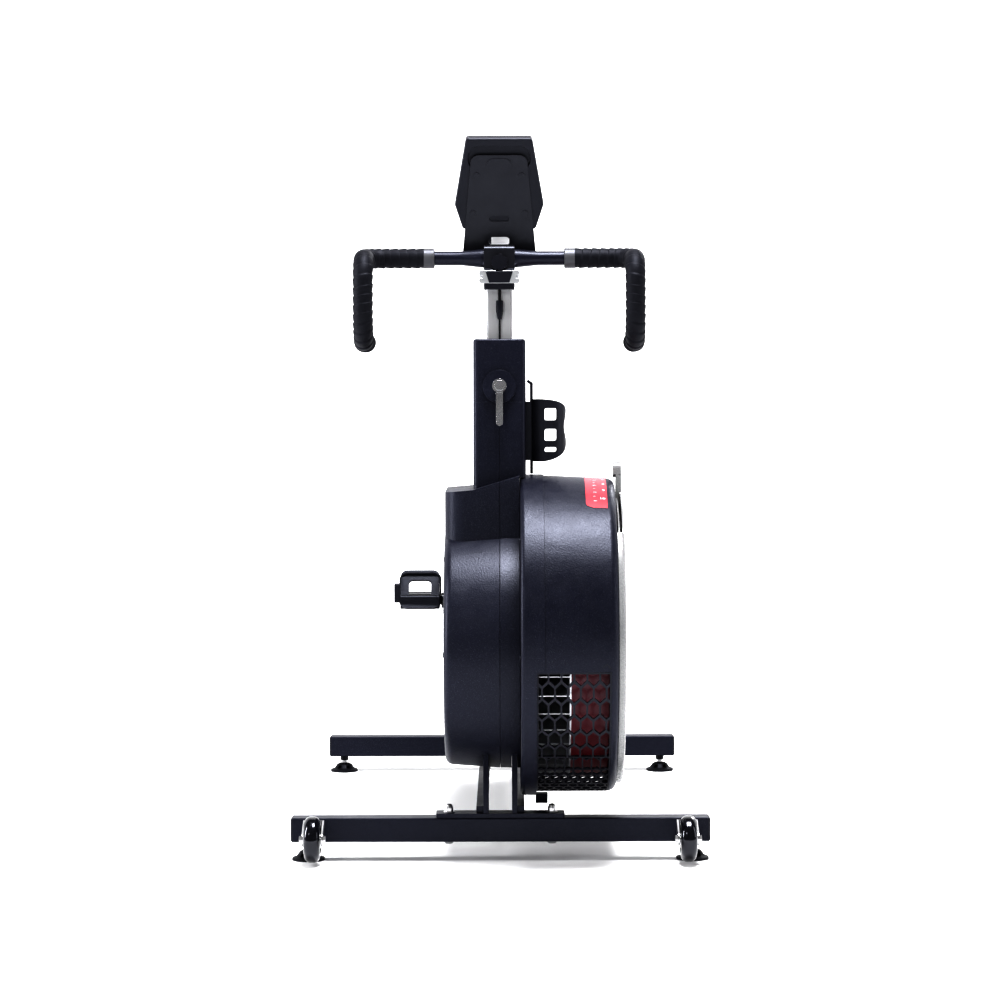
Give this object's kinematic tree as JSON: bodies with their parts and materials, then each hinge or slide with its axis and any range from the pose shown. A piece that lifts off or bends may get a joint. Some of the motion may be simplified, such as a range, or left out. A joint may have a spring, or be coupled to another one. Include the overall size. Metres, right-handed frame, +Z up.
{
  "type": "air bike",
  "caption": "Upright fan-braked exercise bike with a side-mounted air fan, belt drive, drop handlebar, console, bottle cage and adjustable saddle on a levelled base.",
  "frame": {"origin": "on the floor, in the middle of the bike's overall length and width", "axes": "+Z up, the rider faces -Y, +X is the rider's left, where the fan is"},
  "size_m": [0.7, 1.319, 1.2238],
  "materials": {
    "frame_paint": "fine textured powder coat",
    "cover_plastic": "fine grained",
    "black_plastic": "satin",
    "pale_plastic": "gloss",
    "red_metal": "satin",
    "red_label": "printed film",
    "polished_post": "brushed and polished",
    "bright_metal": "polished",
    "zinc_steel": "zinc plated",
    "dark_steel": "satin",
    "flywheel_iron": "machined",
    "fan_metal": "mill finish",
    "bar_tape_rubber": "matte",
    "foot_rubber": "matte",
    "wheel_rubber": "gloss",
    "belt_rubber": "matte",
    "saddle_cover": "grained",
    "screen_glass": "gloss",
    "button_rubber": "satin",
    "cable_jacket": "matte"
  },
  "bodies": {
    "frame": {"front_beam": "frame_paint", "rear_beam": "frame_paint", "beam_end_caps": "black_plastic", "base_rails": "frame_paint", "base_bolts": "zinc_steel", "side_plates": "frame_paint", "column_tube": "frame_paint", "seat_tube": "frame_paint", "wheel_brackets": "dark_steel", "bearings": "zinc_steel", "drive_belt": "belt_rubber", "housing_band": "cover_plastic", "housing_shell": "cover_plastic", "front_grille": "black_plastic", "side_cover": "pale_plastic", "scale_plate": "red_label", "cover_screws": "dark_steel", "drive_cover_right": "cover_plastic", "drive_cover_left": "cover_plastic", "column_covers": "cover_plastic", "column_head": "cover_plastic", "bottle_cage": "black_plastic"},
    "foot_front_left": {"foot_front_left": "foot_rubber"},
    "foot_front_right": {"foot_front_right": "foot_rubber"},
    "foot_rear_left": {"foot_rear_left": "foot_rubber"},
    "foot_rear_right": {"foot_rear_right": "foot_rubber"},
    "wheel_left": {"transport_wheel_left": "wheel_rubber"},
    "wheel_right": {"transport_wheel_right": "wheel_rubber"},
    "fan": {"fan_axle": "zinc_steel", "fan_wheel": "fan_metal", "fan_rim": "red_metal", "flywheel": "flywheel_iron"},
    "crank": {"crank_axle": "bright_metal", "crank_arm_right": "dark_steel", "crank_arm_left": "dark_steel", "crank_pulley": "fan_metal"},
    "right_pedal": {"pedal_right": "black_plastic"},
    "left_pedal": {"pedal_left": "black_plastic"},
    "air_damper": {"damper": "pale_plastic"},
    "bar_mast": {"bar_post": "polished_post", "slider_rail": "polished_post", "rail_caps": "black_plastic", "sensor_cable": "cable_jacket", "cable_plug": "black_plastic"},
    "mast_lever": {"post_lever": "bright_metal"},
    "carriage": {"bar_clamp": "dark_steel", "handlebar": "frame_paint", "bar_tape": "bar_tape_rubber", "console_bracket": "dark_steel", "console_body": "black_plastic", "console_screen": "screen_glass"},
    "carriage_knob": {"clamp_knob": "black_plastic"},
    "key_left": {"button_left": "button_rubber"},
    "key_middle": {"button_middle": "button_rubber"},
    "key_right": {"button_right": "button_rubber"},
    "seat_mast": {"seat_post": "polished_post"},
    "pin": {"seat_pin": "black_plastic"},
    "saddle": {"saddle_slider": "dark_steel", "saddle_shell": "black_plastic", "saddle_pad": "saddle_cover"}
  },
  "joints": [
    {"name": "fan_spin", "type": "hinge", "parent": "frame", "child": "fan", "pos_m": [0, -0.3875, 0.368], "axis": [1, 0, 0], "continuous": true},
    {"name": "crank_spin", "type": "hinge", "parent": "frame", "child": "crank", "pos_m": [0, 0.1925, 0.372], "axis": [1, 0, 0], "continuous": true},
    {"name": "pedal_right_spin", "type": "hinge", "parent": "crank", "child": "right_pedal", "pos_m": [-0.145, 0.02393, 0.394], "axis": [1, 0, 0], "continuous": true},
    {"name": "pedal_left_spin", "type": "hinge", "parent": "crank", "child": "left_pedal", "pos_m": [0.145, 0.36107, 0.35], "axis": [1, 0, 0], "continuous": true},
    {"name": "wheel_left_roll", "type": "hinge", "parent": "frame", "child": "wheel_left", "pos_m": [0.311, -0.5495, 0.043], "axis": [1, 0, 0], "continuous": true},
    {"name": "wheel_right_roll", "type": "hinge", "parent": "frame", "child": "wheel_right", "pos_m": [-0.311, -0.5495, 0.043], "axis": [1, 0, 0], "continuous": true},
    {"name": "foot_front_left_height", "type": "slide", "parent": "frame", "child": "foot_front_left", "axis": [0, 0, -1], "range_m": [0, 0.01]},
    {"name": "foot_front_right_height", "type": "slide", "parent": "frame", "child": "foot_front_right", "axis": [0, 0, -1], "range_m": [0, 0.01]},
    {"name": "foot_rear_left_height", "type": "slide", "parent": "frame", "child": "foot_rear_left", "axis": [0, 0, -1], "range_m": [0, 0.01]},
    {"name": "foot_rear_right_height", "type": "slide", "parent": "frame", "child": "foot_rear_right", "axis": [0, 0, -1], "range_m": [0, 0.01]},
    {"name": "damper_turn", "type": "hinge", "parent": "frame", "child": "air_damper", "pos_m": [0.198, -0.3875, 0.368], "axis": [1, 0, 0], "range_deg": [-18, 40]},
    {"name": "bar_height", "type": "slide", "parent": "frame", "child": "bar_mast", "axis": [0, 0.1045, 0.9945], "range_m": [-0.08, 0.07]},
    {"name": "bar_reach", "type": "slide", "parent": "bar_mast", "child": "carriage", "axis": [0, 1, 0], "range_m": [-0.04, 0.1]},
    {"name": "mast_lever_turn", "type": "hinge", "parent": "frame", "child": "mast_lever", "pos_m": [0, -0.43334, 0.79061], "axis": [0, -0.9945, 0.1045], "range_deg": [-120, 20]},
    {"name": "carriage_knob_turn", "type": "hinge", "parent": "carriage", "child": "carriage_knob", "pos_m": [0, -0.3435, 1.00306], "axis": [0, -1, 0], "range_deg": [0, 360]},
    {"name": "seat_height", "type": "slide", "parent": "frame", "child": "seat_mast", "axis": [0, 0.2924, 0.9563], "range_m": [-0.19, 0.04]},
    {"name": "seat_pin_pull", "type": "slide", "parent": "frame", "child": "pin", "axis": [0, 0.9563, -0.2924], "range_m": [0, 0.01], "stiffness_N_per_m": 800, "springref_m": -0.005},
    {"name": "saddle_reach", "type": "slide", "parent": "seat_mast", "child": "saddle", "axis": [0, 1, 0], "range_m": [-0.04, 0.04]},
    {"name": "button_left_press", "type": "slide", "parent": "carriage", "child": "key_left", "axis": [0, -0.9659, -0.2588], "range_m": [0, 0.0015], "stiffness_N_per_m": 600, "springref_m": -0.0005},
    {"name": "button_middle_press", "type": "slide", "parent": "carriage", "child": "key_middle", "axis": [0, -0.9659, -0.2588], "range_m": [0, 0.0015], "stiffness_N_per_m": 600, "springref_m": -0.0005},
    {"name": "button_right_press", "type": "slide", "parent": "carriage", "child": "key_right", "axis": [0, -0.9659, -0.2588], "range_m": [0, 0.0015], "stiffness_N_per_m": 600, "springref_m": -0.0005}
  ],
  "couplings": [
    {"joint": "crank_spin", "follows": "fan_spin", "ratio": 0.18}
  ]
}
